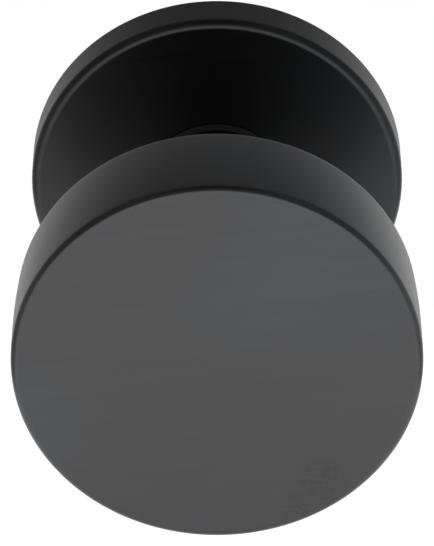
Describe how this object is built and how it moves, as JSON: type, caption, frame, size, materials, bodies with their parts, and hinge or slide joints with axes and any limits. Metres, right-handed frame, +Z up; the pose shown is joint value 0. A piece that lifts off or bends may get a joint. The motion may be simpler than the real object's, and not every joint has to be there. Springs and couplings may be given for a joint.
{
  "type": "fixed door knob on rosette",
  "caption": "Fixed round door knob: a thick flat-faced disc head on a slim neck, standing on a low round rosette with a hidden base plate and fixing lugs.",
  "frame": {"origin": "centre of the base plate's back face, in the plane of the door's face", "axes": "-Y out of the door along the knob's axis, +Z up, +X to the right seen from the front"},
  "size_m": [0.0522, 0.06, 0.0522],
  "materials": {
    "dark_brushed_steel": "stainless steel, brushed and coated dark grey",
    "cast_zinc": "bare pressure-cast zinc alloy, fine matt skin",
    "plated_steel": "bright zinc-plated steel",
    "spring_steel": "oiled spring steel",
    "black_nylon": "moulded black nylon"
  },
  "bodies": {
    "root": {"knob_head": "dark_brushed_steel", "neck": "dark_brushed_steel", "rosette_cover": "dark_brushed_steel", "base_plate": "cast_zinc", "snap_ring": "spring_steel", "neck_bush": "black_nylon", "centre_screw": "plated_steel", "lock_washer": "spring_steel", "foot_pin": "plated_steel", "head_pin": "plated_steel", "lug_sleeve_left": "plated_steel", "lug_sleeve_right": "plated_steel"}
  },
  "joints": []
}
